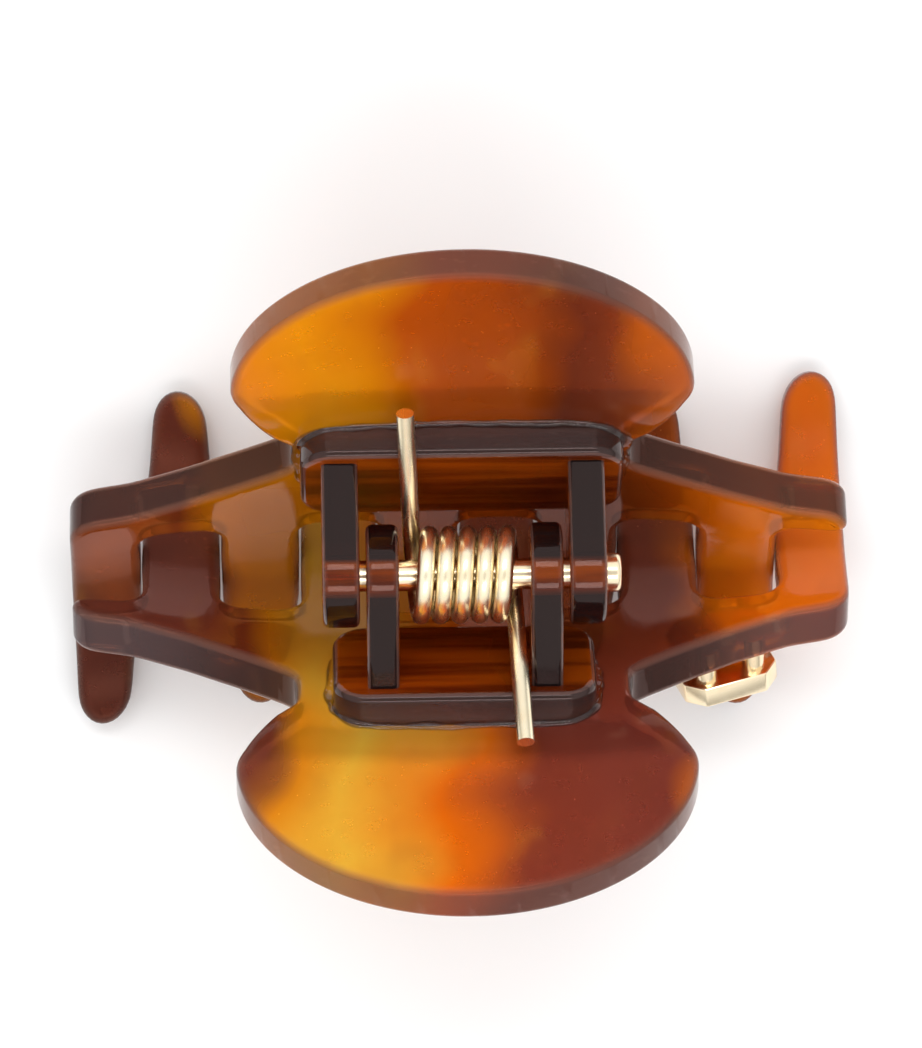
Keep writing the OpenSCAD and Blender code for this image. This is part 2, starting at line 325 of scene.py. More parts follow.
tortoise = {"see": 0.6, "ior": 1.49, "absorb": (0.88, 0.6, 0.3), "density": 240,
            "sheen": (0.46, 0.17, 0.11, 1), "blotch": 120, "wander": 0.006, "lean": 0.3, "perMetre": 19.5,
            "cloud": 240, "cloudDark": (0.22, 0.05, 0.02, 1), "darkShare": 0.2,
            "cloudLight": (1.0, 0.42, 0.04, 1), "lightShare": 0.15,
            # the next tone and share are painted shade for the walls below the neck
            "paintedShadeTone": (0.16, 0.03, 0.002, 1), "paintedShadeShare": 0.5,
            # edge tones: painted shade on the narrow edges, greyed as a painted reflection of the white
            # surroundings
            "handleEdgeShade": (0.040, 0.026, 0.026, 1), "neckEdgeShade": (0.014, 0.010, 0.012, 1),
            "rearEdgeShade": (0.014, 0.013, 0.018, 1), "frontEdgeShade": (0.085, 0.078, 0.092, 1),
            # the ridge tone is a painted highlight along the rounded edges
            "paintedRidgeHighlight": (0.50, 0.30, 0.24, 1), "ridge": 0.3,
            "rough": 0.03, "roughVaries": 0.07, "softness": 0.2}
frontStops = [  # colours along the jaw from -X to +X, as shares of its length
    (0.02, (0.17, 0.045, 0.03)), (0.20, (0.22, 0.05, 0.03)), (0.25, (0.95, 0.36, 0.012)),
    (0.35, (1.0, 0.62, 0.06)), (0.48, (1.0, 0.21, 0.003)), (0.57, (0.30, 0.055, 0.03)),
    (0.68, (0.28, 0.055, 0.035)), (0.77, (0.24, 0.045, 0.03)), (0.84, (0.95, 0.22, 0.003)),
    (0.98, (0.95, 0.22, 0.01))]
rearStops = [
    (0.01, (0.13, 0.03, 0.02)), (0.06, (0.40, 0.09, 0.015)), (0.13, (0.30, 0.06, 0.015)),
    (0.20, (1.0, 0.33, 0.004)), (0.33, (1.0, 0.40, 0.004)), (0.45, (0.58, 0.10, 0.002)),
    (0.57, (0.48, 0.08, 0.002)), (0.64, (0.20, 0.035, 0.012)), (0.70, (0.26, 0.045, 0.012)),
    (0.77, (0.72, 0.15, 0.002)), (0.86, (1.0, 0.27, 0.004)), (0.97, (1.0, 0.27, 0.006))]


def tortoiseFinish(name, stops, seed, towards):  # towards is 1 if the teeth point to +Y, else -1
    f = Finish(name)
    where = f.here()
    x, y, z = f.axes(where)
    moved = f.node("ShaderNodeMapping", {}, {"Vector": where, "Location": (seed, 0.3 * seed, 0)})
    blotch = f.noise(moved, tortoise["blotch"], 1, 0.4)
    along = f.node("ShaderNodeMath", {"operation": "MAXIMUM" if towards > 0 else "MINIMUM"},
                   {0: y + 0.002 * towards, 1: 0.0})
    drift = along * tortoise["lean"]  # the blotches lean along the teeth
    place = (x + (blotch - 0.5) * (2 * tortoise["wander"]) + drift) * tortoise["perMetre"] + 0.5
    tone = f.node("ShaderNodeValToRGB", {"stops": stops}, {0: place})
    cloud = f.noise(f.stretch(moved, (1, 0.6, 0.6)), tortoise["cloud"], 2, 0.5)
    tone = f.mix(f.step(cloud, 0.5, 0.75) * tortoise["darkShare"], tone, tortoise["cloudDark"])
    tone = f.mix(f.step(cloud, 0.45, 0.28) * tortoise["lightShare"], tone, tortoise["cloudLight"])
    # painted shade: the walls below the neck, near the middle, darken down towards the teeth
    paintedShade = f.step(z, (pinZ - 2) * mm, (pinZ - 9) * mm) * f.step(f.size(x), 0.020, 0.013)
    tone = f.mix(paintedShade * tortoise["paintedShadeShare"], tone, tortoise["paintedShadeTone"])
    edge = f.edge()
    handle = f.step(z, pinZ * mm, (pinZ + 3) * mm)
    # painted shade and reflection on the narrow edges: dark where the long way through the sheet lets little
    # light out, greyed as a painted reflection, darker towards the neck, with its own tone on the handles
    rim = f.mix(f.step(f.size(x), 0.022, 0.013), tortoise["frontEdgeShade" if towards > 0 else "rearEdgeShade"],
                tortoise["neckEdgeShade"])
    tone = f.mix(edge, tone, f.mix(handle, rim, tortoise["handleEdgeShade"]))
    # painted highlight: a lighter line along the middle of each rounded edge
    tone = f.mix(edge * (1 - edge) * (4 * tortoise["ridge"]), tone, tortoise["paintedRidgeHighlight"])
    soft = handle * (1 - edge) + f.step(z, 0.009, 0.004)  # the handles' faces and the tips are less glossy
    rough = f.noise(where, 900, 3, 0.6) * tortoise["roughVaries"] + soft * tortoise["softness"]
    normal = f.bump(f.noise(where, 260, 2, 0.5), 0.25, 0.00006)
    return f.surface({"Base Color": tone, "Roughness": rough + tortoise["rough"], "Normal": normal,
                      "Transmission Weight": tortoise["see"], "IOR": tortoise["ior"],
                      "Specular Tint": tortoise["sheen"]},
                     tortoise["absorb"], tortoise["density"])


smoke = {"see": 0.65, "ior": 1.49, "absorb": (0.72, 0.42, 0.15), "density": 600,
         "sheen": (0.75, 0.55, 0.52, 1), "streakLight": (0.66, 0.12, 0.004, 1),
         # the edge tone below is painted shade on the narrow edges, and the share at the pin lifts it there
         # as a painted reflection of the gold pin
         "streakDark": (0.20, 0.03, 0.004, 1), "edgeShade": (0.014, 0.009, 0.009, 1), "pinReflectionShare": 0.8,
         # the ridge tone is a painted highlight along the rounded edges
         "ridge": 0.4, "paintedRidgeHighlight": (0.36, 0.27, 0.25, 1), "rough": 0.02, "roughVaries": 0.08}


def smokeFinish():
    f = Finish("bracketAcetate")
    where = f.here()
    streak = f.noise(f.stretch(where, (0.06, 1, 1)), 620, 3, 0.6)
    tone = f.mix(f.step(streak, 0.36, 0.62), smoke["streakLight"], smoke["streakDark"])
    edge = f.edge()
    # painted reflection: close to the pin's axis the edge shade is lifted so the amber shows, standing in for
    # light from the gold pin inside
    pinReflectionMask = f.step(f.size(f.axes(where)[1]), 0.0013, 0.0008)
    # painted shade on the narrow edges, dark where the long way through the acetate lets little light out
    tone = f.mix(edge * (1 - pinReflectionMask * smoke["pinReflectionShare"]), tone, smoke["edgeShade"])
    # painted highlight: a lighter line along the middle of each rounded edge
    tone = f.mix(edge * (1 - edge) * (4 * smoke["ridge"]), tone, smoke["paintedRidgeHighlight"])
    return f.surface({"Base Color": tone,
                      "Roughness": f.noise(where, 1100) * smoke["roughVaries"] + smoke["rough"],
                      "Normal": f.bump(f.noise(where, 420, 2, 0.5), 0.3, 0.00006),
                      "Transmission Weight": smoke["see"], "IOR": smoke["ior"],
                      "Specular Tint": smoke["sheen"]},
                     smoke["absorb"], smoke["density"])


metal = {"roughVaries": 0.12, "dullShare": 0.5}
gold = {"tone": (0.95, 0.80, 0.56, 1), "dull": (0.85, 0.62, 0.36, 1), "rough": 0.14, "streaks": (1, 1, 0.15)}
steel = {"tone": (0.97, 0.87, 0.64, 1), "dull": (0.88, 0.68, 0.40, 1), "rough": 0.21,
         "streaks": (1, 0.3, 0.3)}


def metalFinish(name, look):
    f = Finish(name)
    where = f.here()
    cloud = f.noise(where, 350, 3, 0.6)
    streak = f.noise(f.stretch(where, look["streaks"]), 1500, 2, 0.6)
    tone = f.mix(f.step(cloud, 0.4, 0.75) * metal["dullShare"], look["tone"], look["dull"])
    return f.surface({"Base Color": tone, "Metallic": 1.0, "Normal": f.bump(streak, 0.12, 0.00002),
                      "Roughness": streak * metal["roughVaries"] + look["rough"]})


resin = {"dark": (0.12, 0.035, 0.012, 1), "light": (0.32, 0.12, 0.03, 1), "ior": 1.5, "coat": 0.6,
         "rough": 0.05, "roughVaries": 0.1}


def resinFinish():
    f = Finish("brownResin")
    where = f.here()
    tone = f.mix(f.step(f.noise(where, 700, 3, 0.6), 0.35, 0.7), resin["dark"], resin["light"])
    return f.surface({"Base Color": tone, "IOR": resin["ior"], "Coat Weight": resin["coat"],
                      "Roughness": f.noise(where, 1600) * resin["roughVaries"] + resin["rough"]})


clear = {"tone": (1.0, 0.93, 0.88, 1), "ior": 1.45, "rough": 0.02, "roughVaries": 0.12}


def glueFinish():
    f = Finish("clearGlue")
    ripple = f.noise(f.here(), 900, 3, 0.6)
    return f.surface({"Base Color": clear["tone"], "Transmission Weight": 1.0, "IOR": clear["ior"],
                      "Roughness": ripple * clear["roughVaries"] + clear["rough"],
                      "Normal": f.bump(ripple, 0.4, 0.00008)})


def floorFinish():
    f = Finish("paleFloor")
    shade = studio["floorShade"]
    tone = f.mix(f.noise(f.here(), 6, 3, 0.5), (shade, shade, shade, 1),
                 (shade - 0.015, shade - 0.012, shade - 0.008, 1))
    return f.surface({"Base Color": tone, "Roughness": 0.85})


# --- the jaws' wall, in millimetres from the pin's middle

wall = {"handleSlope": 50, "neckSlope": 66, "rootSlope": 56, "halfBend": 1.5, "rootAt": 14.8,
        "flatAt": 29.6, "tipAt": 31.6, "neckY": 11.3, "handleThick": 2.5, "thick": 3.1, "tipThick": 2.3,
        "barrel": 167, "cutAt": 3, "cutSlope": 58}


def walk(start, slope, endSlope, length, along):  # down a bend whose slope changes evenly
    turn = math.radians(endSlope - slope) / length
    here = math.radians(slope + (endSlope - slope) * along / length)
    slope = math.radians(slope)
    if abs(turn) < 1e-7:
        return start[0] - along * math.cos(slope), start[1] - along * math.sin(slope)
    return (start[0] - (math.sin(here) - math.sin(slope)) / turn,
            start[1] + (math.cos(here) - math.cos(slope)) / turn)


midSlope = (wall["handleSlope"] + wall["neckSlope"]) / 2
neckPoint = (wall["neckY"], 0)
handlePoint = walk(neckPoint, midSlope, wall["neckSlope"], wall["halfBend"], -wall["halfBend"])
wallPoint = walk(neckPoint, midSlope, wall["neckSlope"], wall["halfBend"], wall["halfBend"])
wallLength, toothLength = wall["rootAt"] - wall["halfBend"], wall["flatAt"] - wall["rootAt"]
rootPoint = walk(wallPoint, wall["neckSlope"], wall["rootSlope"], wallLength, wallLength)
flatPoint = walk(rootPoint, wall["rootSlope"], 0, toothLength, toothLength)


def slopeAt(s):
    if s < -wall["halfBend"]:
        return wall["handleSlope"]
    if s < wall["halfBend"]:
        return midSlope + (wall["neckSlope"] - midSlope) * s / wall["halfBend"]
    if s < wall["rootAt"]:
        share = (s - wall["halfBend"]) / wallLength
        return wall["neckSlope"] + (wall["rootSlope"] - wall["neckSlope"]) * share
    return max(0, wall["rootSlope"] * (1 - (s - wall["rootAt"]) / toothLength))


def middleAt(s):
    if s < -wall["halfBend"]:
        return walk(handlePoint, wall["handleSlope"], wall["handleSlope"], 1, s + wall["halfBend"])
    if s < wall["halfBend"]:
        return walk(neckPoint, midSlope, wall["neckSlope"], wall["halfBend"], s)
    if s < wall["rootAt"]:
        return walk(wallPoint, wall["neckSlope"], wall["rootSlope"], wallLength, s - wall["halfBend"])
    if s < wall["flatAt"]:
        return walk(rootPoint, wall["rootSlope"], 0, toothLength, s - wall["rootAt"])
    return walk(flatPoint, 0, 0, 1, s - wall["flatAt"])


def thickAt(s):
    blend = min(1, max(0, (s + wall["halfBend"]) / (2 * wall["halfBend"])))
    taper = min(1, max(0, (s - wall["rootAt"]) / toothLength))
    return (wall["handleThick"] + (wall["thick"] - wall["handleThick"]) * blend
            + (wall["tipThick"] - wall["thick"]) * taper)


def onWall(x, s, side):  # side is -1 on the outer face, 0 in the middle and 1 on the inner face
    slope = math.radians(slopeAt(s))
    y, z = middleAt(s)
    y -= side * thickAt(s) / 2 * math.sin(slope)
    z += side * thickAt(s) / 2 * math.cos(slope)
    return Vector((x, math.sqrt((wall["barrel"] + y) ** 2 - x * x) - wall["barrel"], z + pinZ))


def toWorld(point, turned):  # in metres, and half round about the vertical for the front half
    way = -1 if turned else 1
    return Vector((way * point.x, way * point.y, point.z)) * mm


cutDown = Vector((0, -math.cos(math.radians(wall["cutSlope"])), -math.sin(math.radians(wall["cutSlope"]))))
cutOrigin = onWall(0, wall["cutAt"], 0)


def alongWall(x, cut):  # the distance along the wall of a point of the flat cutting pattern
    s = cut
    for _ in range(5):
        s += cut - wall["cutAt"] - (onWall(x, s, 0) - cutOrigin).dot(cutDown)
    return s


jaw = {"handleX": 14.8, "widest": 2.5, "tall": 11.35, "neckX": 10.8, "lobe": 3.7, "lobeCurve": 1.25,
       "rim": 7.6, "rimLine": ((14.5, 9.2), (18, 10.9), (21.5, 12.2)), "innerCorner": 0.9,
       "wingX": 25.6, "wingCorner": 1.8, "wingCornerAt": 14.2, "wingFoot": 0.7,
       "pitch": 5.25, "rows": (-4.5, -2.5, -0.5, 1.5, 3.5), "rootHalf": 2.5, "crossHalf": 2.55,
       "tipHalf": 1.8, "tipLong": 2.4, "gapRadius": 1.3,
       "belowRoot": 18.3, "crossFrom": 20, "crossTo": 22.5, "narrowAt": 26,
       "crown": 0.22, "crownFrom": 16, "crownOver": 2.5, "edge": 0.55, "edgeSteps": 4, "inset": 0.25,
       "spacing": 0.4}


def arc(x, y, radius, start, end, steps):
    turns = [math.radians(start + (end - start) * i / steps) for i in range(steps + 1)]
    return [(x + radius * math.cos(a), y + radius * math.sin(a)) for a in turns]


def sideOutline():  # from the handle's top to the wing's end, for x > 0
    reach = jaw["lobe"] + jaw["widest"]
    points = [(jaw["handleX"] * math.cos(a), -jaw["widest"] - jaw["tall"] * math.sin(a))
              for a in map(math.radians, range(87, -1, -3))]
    for share in (i / 8 for i in range(1, 9)):
        points.append((jaw["neckX"] + (jaw["handleX"] - jaw["neckX"]) * (1 - share ** jaw["lobeCurve"]),
                       -jaw["widest"] + reach * share))
    points += arc(jaw["neckX"] + jaw["innerCorner"], jaw["rim"] - 1.1, jaw["innerCorner"], 180, 110, 4)
    points += [(12, jaw["rim"] + 0.2), *jaw["rimLine"]]
    points += arc(jaw["wingX"] - jaw["wingCorner"], jaw["wingCornerAt"], jaw["wingCorner"], -80, 0, 6)
    return [(x, alongWall(x, cut)) for x, cut in points]


def toothOutline(middle, outer, trim):  # from its +X root round the tip to its -X root
    long, tip = jaw["tipLong"], wall["tipAt"] - trim
    half, narrowAt = jaw["crossHalf"], jaw["narrowAt"] - trim / 2
    points = [(middle + half + 0.05, jaw["belowRoot"]), (middle + half, jaw["crossFrom"])]
    points += [(middle + half, jaw["crossTo"]), (middle + jaw["tipHalf"] + 0.25, narrowAt)]
    points += [(middle + jaw["tipHalf"] * math.cos(a), tip - long + long * math.sin(a))
               for a in map(math.radians, range(0, 181, 10))]
    if outer:  # straight down from the wing's end
        return points + [(middle - jaw["tipHalf"] - 0.05, narrowAt), (-jaw["wingX"], jaw["crossFrom"])]
    points += [(middle - jaw["tipHalf"] - 0.25, narrowAt), (middle - half, jaw["crossTo"])]
    return points + [(middle - half, jaw["crossFrom"]), (middle - half - 0.05, jaw["belowRoot"])]


def lowerOutline(trim):  # from the +X end of the wing to its -X end
    root, radius, end = wall["rootAt"], jaw["gapRadius"], jaw["wingX"]
    points = [(end, alongWall(end, root - jaw["wingFoot"])), (end - jaw["wingFoot"], alongWall(end, root))]
    for row in reversed(jaw["rows"]):
        middle = row * jaw["pitch"]
        outer = row == jaw["rows"][0]
        corner = arc(middle + jaw["rootHalf"] + radius, root + radius, radius, 270, 180, 5)
        points += [(x, alongWall(x, cut)) for x, cut in corner]
        points += toothOutline(middle, outer, trim)
        if not outer:
            corner = arc(middle - jaw["rootHalf"] - radius, root + radius, radius, 360, 270, 5)
            points += [(x, alongWall(x, cut)) for x, cut in corner]
    return points


def evenPoints(points, spacing, rounds):  # the closed outline at even steps, with its corners softened
    closed = points + [points[0]]
    lengths = [math.dist(a, b) for a, b in zip(closed, closed[1:])]
    count = round(sum(lengths) / spacing)
    step, made, piece, passed = sum(lengths) / count, [], 0, 0.0
    for i in range(count):
        while passed + lengths[piece] < i * step:
            passed += lengths[piece]
            piece += 1
        share = (i * step - passed) / lengths[piece]
        made.append(tuple(a + (b - a) * share for a, b in zip(closed[piece], closed[piece + 1])))
    for _ in range(rounds):
        made = [tuple((p + 2 * q + r) / 4 for p, q, r in zip(made[i - 1], made[i], made[(i + 1) % count]))
                for i in range(count)]
    return made


def jawOutline(trim):
    side = sideOutline()
    points = side + lowerOutline(trim) + [(-x, s) for x, s in reversed(side)]
    return evenPoints([(x, -s) for x, s in points], jaw["spacing"], 3)


crossCuts = [-8, -4, -1.5, -1.1, -0.7, -0.3, 0.1, 0.5, 0.9, 1.5, 3.5, 5.5, 7.5, 9.5, 11.5, 13.2, 14.8]
crossCuts += [14.8 + 0.62 * i for i in range(1, 24)] + [29.6]  # closest where the plate bends
longCuts = [3 * i + 0.01 for i in range(-8, 9)]


def makeJaw(name, trim, turned):
    thick = wall["thick"]
    piece = outlineBlank(name, jawOutline(trim), thick)
    startEdit(piece)
    pickEdges(piece, lambda a, b: abs(a.z - b.z) < 0.01)
    bevelPicked(jaw["edge"], jaw["edgeSteps"])
    pickFaces(piece, lambda centre, normal: abs(normal.z) > 0.999 and min(centre.z, thick - centre.z) < 0.001)
    bpy.ops.mesh.inset(thickness=jaw["inset"])
    for place, normal in ([((0, -s, 0), (0, 1, 0)) for s in crossCuts]
                          + [((x, 0, 0), (1, 0, 0)) for x in longCuts]):
        bpy.ops.mesh.select_all(action="SELECT")
        bpy.ops.mesh.bisect(plane_co=place, plane_no=normal)
    bpy.ops.mesh.select_all(action="SELECT")
    bpy.ops.mesh.normals_make_consistent(inside=False)
    endEdit()
    edges = []
    for vertex in piece.data.vertices:  # the handle's edge takes less of the painted edge shade than the wings'
        wing = min(1, max(0, (2 - vertex.co.y) / 6))
        edges.append((1 - abs(vertex.normal.z)) * (0.7 + 0.3 * wing))
    markEdges(piece, edges)

    def form(point):
        s, side = -point.y, 2 * point.z / thick - 1
        tooth = min((abs(point.x - row * jaw["pitch"]) for row in jaw["rows"])) / jaw["crossHalf"]
        rise = min(1, max(0, (s - jaw["crownFrom"]) / jaw["crownOver"]))
        side *= 1 - jaw["crown"] * min(1, tooth) ** 2 * rise
        return toWorld(onWall(point.x, s, side), turned)
    moveVertices(piece, form)
    smooth(piece)
    weighNormals(piece)
    return piece


# --- hinge brackets

bracket = {"baseLong": 9, "baseThick": 2.3, "letIn": 0.35, "corner": 2.2, "eye": 3.3, "slope": 63, "at": 0.6,
           "armFrom": 0.9, "armTo": 7.8, "armLow": 1, "armHigh": 2.3, "edge": 0.55, "armEdge": 0.42,
           "plateEdge": 0.92}
rearHinge = {"width": 20.8, "armX": 6.7, "armThick": 2.4, "bore": 1.01}
frontHinge = {"width": 17, "armX": 4.2, "armThick": 2.1, "bore": 1.04}
baseSlope = math.radians(bracket["slope"])
foot = onWall(0, bracket["at"], 1) - bracket["letIn"] * Vector((0, -math.sin(baseSlope), math.cos(baseSlope)))


def onBase(x, v, w):  # v down the base plate and w in front of its back
    return foot + Vector((x, -v * math.cos(baseSlope) - w * math.sin(baseSlope),
                          -v * math.sin(baseSlope) + w * math.cos(baseSlope)))


def hull(points):  # the convex outline round the points
    points = sorted(points)

    def half(ordered):
        chain = []
        for p in ordered:
            while len(chain) > 1 and ((chain[-1][0] - chain[-2][0]) * (p[1] - chain[-2][1])
                                      - (chain[-1][1] - chain[-2][1]) * (p[0] - chain[-2][0])) <= 1e-9:
                chain.pop()
            chain.append(p)
        return chain[:-1]
    return half(points) + half(points[::-1])


def makeArm(x, thick):
    points = arc(0, 0, bracket["eye"], 0, 354, 59)
    for v in (bracket["armFrom"], bracket["armTo"]):
        for w in (bracket["armLow"], bracket["armHigh"]):
            corner = onBase(0, v, w)
            points.append((corner.y, corner.z - pinZ))
    arm = outlineBlank("arm", hull(points), thick)
    startEdit(arm)
    pickEdges(arm, lambda a, b: abs(a.z - b.z) < 0.01)
    bevelPicked(bracket["armEdge"], 3)
    endEdit()
    moveVertices(arm, lambda p: Vector((x + p.z, p.x, p.y + pinZ)))
    turnOutwards(arm)
    return arm


def makeBracket(name, hinge, turned):
    width, thick = hinge["width"], bracket["baseThick"] + bracket["letIn"]
    clearSelection()
    bpy.ops.mesh.primitive_cube_add(size=1, location=(0, -bracket["baseLong"] / 2, thick / 2))
    base = bpy.context.object
    base.name = name
    base.scale = (width, bracket["baseLong"], thick)
    bpy.ops.object.transform_apply(location=True, rotation=True, scale=True)
    startEdit(base)
    pickEdges(base, lambda a, b: abs(a.z - b.z) > 1)
    bevelPicked(bracket["corner"], 10)
    pickEdges(base, lambda a, b: min(a.z, b.z) > thick - 0.01)
    bevelPicked(bracket["edge"], 4)
    endEdit()
    moveVertices(base, lambda p: onBase(p.x, -p.y, p.z))
    turnOutwards(base)
    for x in (hinge["armX"], -hinge["armX"] - hinge["armThick"]):
        combine(base, makeArm(x, hinge["armThick"]), "UNION")
    clearSelection()
    bpy.ops.mesh.primitive_cylinder_add(vertices=64, radius=hinge["bore"], depth=width + 4,
                                        location=(0, 0, pinZ), rotation=(0, math.pi / 2, 0))
    combine(base, bpy.context.object, "DIFFERENCE")
    front = Vector((0, -math.sin(baseSlope), math.cos(baseSlope)))
    edges = []
    for face in base.data.polygons:
        onPlate = (face.center - foot).dot(front) < thick + 0.05
        broad = abs(face.normal.dot(front)) if onPlate else abs(face.normal.x)
        narrow = min(1, max(0, (0.98 - broad) * 2.5)) * (bracket["plateEdge"] if onPlate else 1)
        edges += [narrow] * face.loop_total
    markEdges(base, edges)
    moveVertices(base, lambda p: toWorld(p, turned))
    smooth(base, 32)
    weighNormals(base)
    return base


glue = {"low": 0.24, "high": 0.44, "side": 0.3, "sideTo": 6, "step": 0.7, "wander": 0.12, "around": 0.05}


def makeGlue(name, width, turned):  # an uneven bead round a base plate
    half, corner = width / 2 + glue["around"], bracket["corner"]
    side, top, low = half - corner, corner - glue["around"], bracket["baseLong"] + glue["around"] - corner
    loop = (arc(side, top, corner, -90, 0, 4) + arc(side, low, corner, 0, 90, 4)
            + arc(-side, low, corner, 90, 180, 4) + arc(-side, top, corner, 180, 270, 4))
    loop = evenPoints(loop, glue["step"], 1)
    curve = bpy.data.curves.new(name, "CURVE")
    curve.dimensions = "3D"
    curve.bevel_depth = 1
    curve.bevel_resolution = 3
    curve.resolution_u = 3
    spline = curve.splines.new("NURBS")
    spline.points.add(len(loop) - 1)
    spline.use_cyclic_u = True
    way = -1 if turned else 1
    for point, (x, v) in zip(spline.points, loop):
        jitter = random.uniform(-glue["wander"], glue["wander"])
        p = onWall(x, bracket["at"] + v + jitter, 1)
        point.co = (way * p.x, way * p.y, p.z, 1)
        atSide = glue["side"] if abs(x) > half - 1 and v < glue["sideTo"] else 0
        point.radius = random.uniform(glue["low"], glue["high"]) + atSide * random.random()
    bead = bpy.data.objects.new(name, curve)
    bpy.context.scene.collection.objects.link(bead)
    clearSelection()
    bpy.context.view_layer.objects.active = bead
    bead.select_set(True)
    bpy.ops.object.convert(target="MESH")
    bead = bpy.context.object
    moveVertices(bead, lambda p: p * mm)
    startEdit(bead)
    bpy.ops.mesh.select_all(action="SELECT")
    bpy.ops.mesh.normals_make_consistent(inside=False)
    endEdit()
    smooth(bead)
    return bead


# --- hinge pin

pin = {"radius": 1.0, "end": 9.1, "headRadius": 1.25, "headLong": 0.98, "headEdge": 0.32, "endEdge": 0.14,
       "ribCuts": (-8.75, -8.65, -7.05, -6.95), "ribsFrom": -8.7, "ribsTo": -7, "ribHeight": 1.05}


def makePin():
    clearSelection()
    bpy.ops.mesh.primitive_cylinder_add(vertices=48, radius=pin["radius"], depth=2 * pin["end"],
                                        location=(0, 0, pinZ), rotation=(0, math.pi / 2, 0))
    piece = bpy.context.object
    piece.name = "hingePin"
    bpy.ops.object.transform_apply(location=True, rotation=True, scale=True)
    startEdit(piece)
    pickFaces(piece, lambda c, n: n.x > 0.9)  # the head
    bpy.ops.mesh.extrude_region_move(TRANSFORM_OT_translate={"value": (0.001, 0, 0)})
    grow = pin["headRadius"] / pin["radius"]
    bpy.ops.transform.resize(value=(1, grow, grow), center_override=(pin["end"], 0, pinZ))
    bpy.ops.mesh.extrude_region_move(TRANSFORM_OT_translate={"value": (pin["headLong"], 0, 0)})
    pickEdges(piece, lambda a, b: min(a.x, b.x) > pin["end"] + 0.5)
    bevelPicked(pin["headEdge"], 4)
    pickEdges(piece, lambda a, b: max(a.x, b.x) < -pin["end"] + 0.01)
    bevelPicked(pin["endEdge"], 2)
    for x in pin["ribCuts"]:  # the ribs that hold the pin in the arm
        bpy.ops.mesh.select_all(action="SELECT")
        bpy.ops.mesh.bisect(plane_co=(x, 0, 0), plane_no=(1, 0, 0))
    bpy.ops.mesh.select_all(action="DESELECT")
    bpy.ops.mesh.select_mode(type="VERT")
    mesh = bmesh.from_edit_mesh(piece.data)
    for vertex in mesh.verts:
        turn = round(math.degrees(math.atan2(vertex.co.z - pinZ, vertex.co.y)) / 7.5) % 4
        if pin["ribsFrom"] < vertex.co.x < pin["ribsTo"] and turn == 0:
            vertex.select_set(True)
    bmesh.update_edit_mesh(piece.data)
    bpy.ops.transform.resize(value=(1, pin["ribHeight"], pin["ribHeight"]), center_override=(0, 0, pinZ))
    endEdit()
    moveVertices(piece, lambda p: p * mm)
    smooth(piece, 40)
    return piece


# --- torsion spring

spring = {"wire": 0.575, "coil": 2.6, "turns": 5, "pitch": 1.3, "steps": 200, "legSlope": 33.6,
          "legLong": 10.9, "legSteps": 12, "lean": 0.45}


def makeSpring():
    slope, reach = math.radians(spring["legSlope"]), spring["turns"] * spring["pitch"] / 2

    def leg(along, side):
        y = spring["coil"] * math.sin(slope) + along * math.cos(slope)
        z = -spring["coil"] * math.cos(slope) + along * math.sin(slope)
        return side * (reach + spring["lean"] * along / spring["legLong"]), -side * y, z + pinZ
    alongLeg = [spring["legLong"] * i / spring["legSteps"] for i in range(1, spring["legSteps"] + 1)]
    path = [leg(along, -1) for along in reversed(alongLeg)]
    turns, count = 360 * spring["turns"] + 2 * spring["legSlope"], spring["steps"]
    for i in range(count + 1):
        a = math.radians(-90 + spring["legSlope"] - turns * i / count)
        path.append((-reach + 2 * reach * i / count,
                     spring["coil"] * math.cos(a), spring["coil"] * math.sin(a) + pinZ))
    path += [leg(along, 1) for along in alongLeg]
    curve = bpy.data.curves.new("springPath", "CURVE")
    curve.dimensions = "3D"
    curve.bevel_depth = spring["wire"]
    curve.bevel_resolution = 5
    curve.use_fill_caps = True
    spline = curve.splines.new("POLY")
    spline.points.add(len(path) - 1)
    for point, place in zip(spline.points, path):
        point.co = (*place, 1)
    piece = bpy.data.objects.new("torsionSpring", curve)
    bpy.context.scene.collection.objects.link(piece)
    clearSelection()
    bpy.context.view_layer.objects.active = piece
    piece.select_set(True)
    bpy.ops.object.convert(target="MESH")
    piece = bpy.context.object
    turnOutwards(piece)
    moveVertices(piece, lambda p: p * mm)
    smooth(piece, 50)
    return piece


# --- badge

badge = {"wide": 6.5, "high": 5.8, "thick": 1.5, "gap": 1.2, "turn": 14, "x": 17.1, "s": 13.2,
         "chamfer": 1.15, "corner": 0.12, "edge": 0.16, "recess": 0.45, "recessRadius": 2.1,
         "postRadius": 0.75, "postX": 1.65, "postY": 1.7, "postLong": 2.6, "postInset": 0.06,
         "postEdge": 0.15, "domeRadius": 2.05, "domeFoot": 0.3, "domeHigh": 0.595}


def badgePlace():
    point = onWall(0, badge["s"], -1)
    pull = wall["barrel"] + point.y - math.sqrt((wall["barrel"] + point.y) ** 2 - badge["x"] ** 2)
    return (Matrix.Rotation(math.pi, 4, "Z")
            @ Matrix.Translation((-badge["x"], point.y - pull, point.z))
            @ Matrix.Rotation(math.asin(badge["x"] / wall["barrel"]), 4, "Z")
            @ Matrix.Rotation(math.radians(slopeAt(badge["s"]) + 180), 4, "X")
            @ Matrix.Rotation(math.pi, 4, "Z")
            @ Matrix.Rotation(math.radians(-badge["turn"]), 4, "Z"))


